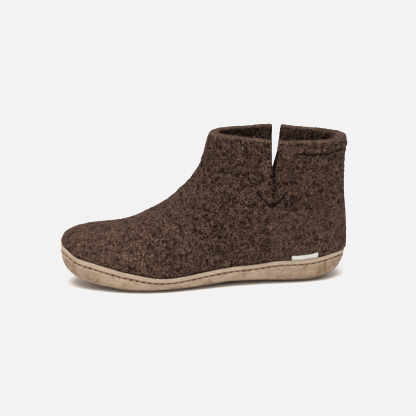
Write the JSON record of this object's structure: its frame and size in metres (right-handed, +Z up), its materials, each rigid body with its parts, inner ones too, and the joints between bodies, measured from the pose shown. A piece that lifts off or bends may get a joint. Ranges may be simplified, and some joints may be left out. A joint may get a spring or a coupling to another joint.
{
  "type": "felted wool slipper boot",
  "caption": "Ankle-high indoor boot for the left foot, in thick felted wool with a slit on each side of the shaft, on a stitched suede cup sole.",
  "frame": {"origin": "middle of the boot's outline seen from above, on the floor that the sole stands on", "axes": "+X from heel to toe, +Y to the outer side of the left foot, +Z up"},
  "size_m": [0.2734, 0.0994, 0.1429],
  "materials": {
    "felt": "mottled brown felted wool, matt and hairy",
    "suede": "tan suede, matt, with a stitched groove",
    "footbed": "dark brown pressed felt, matt",
    "tape": "plain white woven tape"
  },
  "bodies": {
    "root": {"upper": "felt", "sole": "suede", "insole": "footbed", "side_tab": "tape"}
  },
  "joints": []
}
